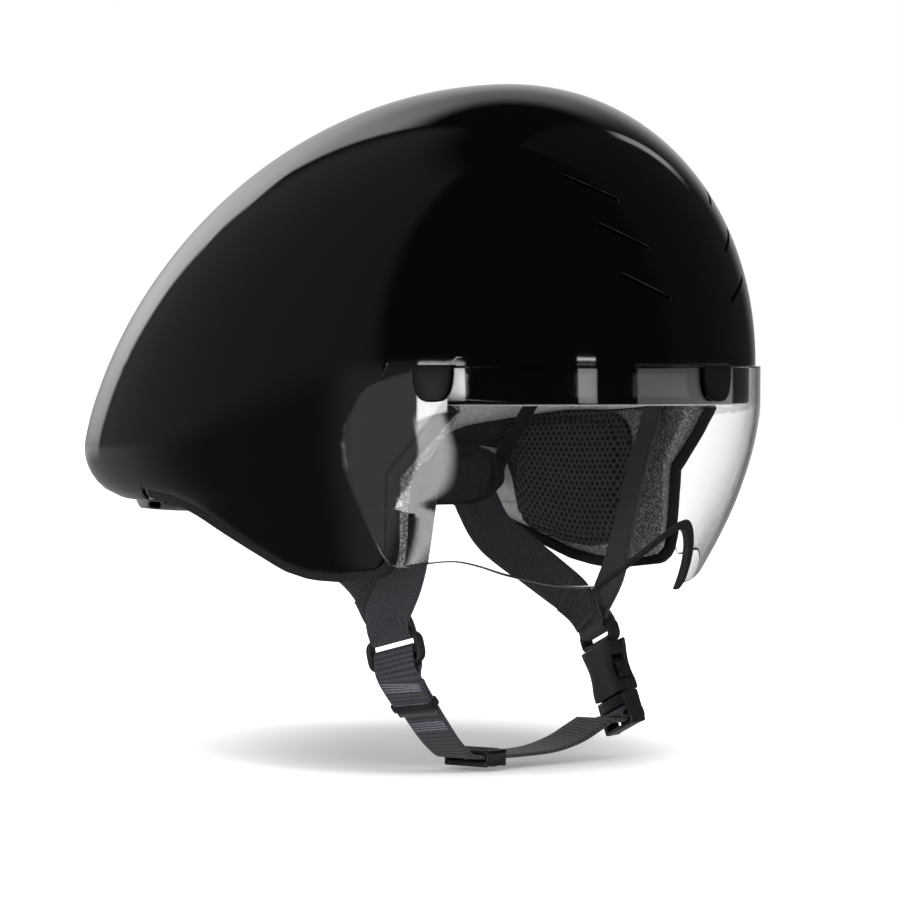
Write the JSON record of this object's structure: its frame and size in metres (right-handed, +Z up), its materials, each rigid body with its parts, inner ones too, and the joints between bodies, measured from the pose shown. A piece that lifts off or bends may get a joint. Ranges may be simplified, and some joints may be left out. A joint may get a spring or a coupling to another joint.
{
  "type": "time trial cycling helmet",
  "caption": "Glossy black long-tailed cycling helmet with a clear wrap-around visor held by magnets, webbing chin straps with a side-release buckle, and a dial-fitted rear cradle.",
  "frame": {"origin": "on the centre plane above the middle of the head opening, level with the brow edge of the shell", "axes": "+Z up, -Y the way the wearer faces, +X the wearer's left"},
  "size_m": [0.1982, 0.3267, 0.2766],
  "materials": {
    "shell_gloss": "polished",
    "liner_foam": "moulded bead foam",
    "trim_matte": "fine grain",
    "magnet_plate": "nickel plated",
    "pad_mesh": "spacer mesh",
    "flap_foam": "cut foam",
    "webbing": "woven",
    "keeper_elastic": "matte",
    "moulded_black": "satin",
    "gear_white": "moulded",
    "lens_clear": "clear with a light smoke tint",
    "tab_gloss": "polished",
    "edging_rubber": "matte"
  },
  "bodies": {
    "helmet": {"outer_shell": "shell_gloss", "front_band": "shell_gloss", "eps_liner": "liner_foam", "rim_trim_left": "trim_matte", "rim_trim_right": "trim_matte", "tail_undertray": "shell_gloss", "tail_vent_bezels": "shell_gloss", "shell_magnets": "magnet_plate", "brow_pad": "pad_mesh", "crown_pad": "pad_mesh", "side_pad_left": "pad_mesh", "side_pad_right": "pad_mesh", "ear_foam_left": "flap_foam", "ear_foam_right": "flap_foam", "strap_anchors": "moulded_black", "front_strap_left": "webbing", "front_strap_right": "webbing", "rear_strap_left": "webbing", "rear_strap_right": "webbing", "ring_right": "moulded_black", "chin_strap": "webbing", "strap_tail": "webbing", "strap_keeper": "keeper_elastic", "buckle_female": "moulded_black", "buckle_male": "moulded_black", "arm_pins": "moulded_black"},
    "visor": {"visor_lens": "lens_clear", "visor_tab_centre": "tab_gloss", "visor_tab_left": "tab_gloss", "visor_tab_right": "tab_gloss", "visor_magnets": "magnet_plate", "nose_edging": "edging_rubber"},
    "cradle_arms": {"cradle_arm_left": "moulded_black", "cradle_arm_right": "moulded_black"},
    "cradle": {"cradle_shell": "moulded_black", "cradle_pad_left": "pad_mesh", "cradle_pad_right": "pad_mesh", "dial_housing": "moulded_black", "dial_cover": "moulded_black"},
    "dial": {"dial_knob": "moulded_black", "dial_pinion": "gear_white"},
    "rack_upper": {"rack_left": "gear_white"},
    "rack_lower": {"rack_right": "gear_white"},
    "prong_front": {"buckle_prong_front": "moulded_black"},
    "prong_rear": {"buckle_prong_rear": "moulded_black"},
    "strap_slider": {"chin_slider": "moulded_black"}
  },
  "joints": [
    {"name": "visor_lift_off", "type": "slide", "parent": "helmet", "child": "visor", "axis": [0, -1, 0], "range_m": [0, 0.15]},
    {"name": "cradle_tilt", "type": "hinge", "parent": "helmet", "child": "cradle_arms", "pos_m": [0, 0.025, 0.003], "axis": [1, 0, 0], "range_deg": [-4, 4]},
    {"name": "cradle_draw", "type": "slide", "parent": "cradle_arms", "child": "cradle", "axis": [0, -1, 0], "range_m": [0, 0.006]},
    {"name": "dial_turn", "type": "hinge", "parent": "cradle", "child": "dial", "pos_m": [0, 0.0943, -0.048], "axis": [0, -1, 0], "range_deg": [0, 137.5]},
    {"name": "rack_upper_draw", "type": "slide", "parent": "cradle", "child": "rack_upper", "axis": [-1, 0, 0], "range_m": [0, 0.0115]},
    {"name": "rack_lower_draw", "type": "slide", "parent": "cradle", "child": "rack_lower", "axis": [1, 0, 0], "range_m": [0, 0.0115]},
    {"name": "prong_rear_press", "type": "hinge", "parent": "helmet", "child": "prong_rear", "pos_m": [0.06745, -0.00103, -0.13843], "axis": [0.9272, -0.352, 0.1281], "range_deg": [0, 13.75], "stiffness_Nm_per_rad": 0.05},
    {"name": "prong_front_press", "type": "hinge", "parent": "helmet", "child": "prong_front", "pos_m": [0.06355, -0.01009, -0.13513], "axis": [-0.9272, 0.352, -0.1281], "range_deg": [0, 13.75]},
    {"name": "slider_travel", "type": "slide", "parent": "helmet", "child": "strap_slider", "axis": [1, 0, 0], "range_m": [0, 0.012]}
  ],
  "couplings": [
    {"joint": "cradle_draw", "follows": "dial_turn", "m_per_rad": 0.0025},
    {"joint": "rack_upper_draw", "follows": "dial_turn", "m_per_rad": 0.0047746},
    {"joint": "rack_lower_draw", "follows": "dial_turn", "m_per_rad": 0.0047746},
    {"joint": "prong_front_press", "follows": "prong_rear_press", "ratio": 1}
  ]
}
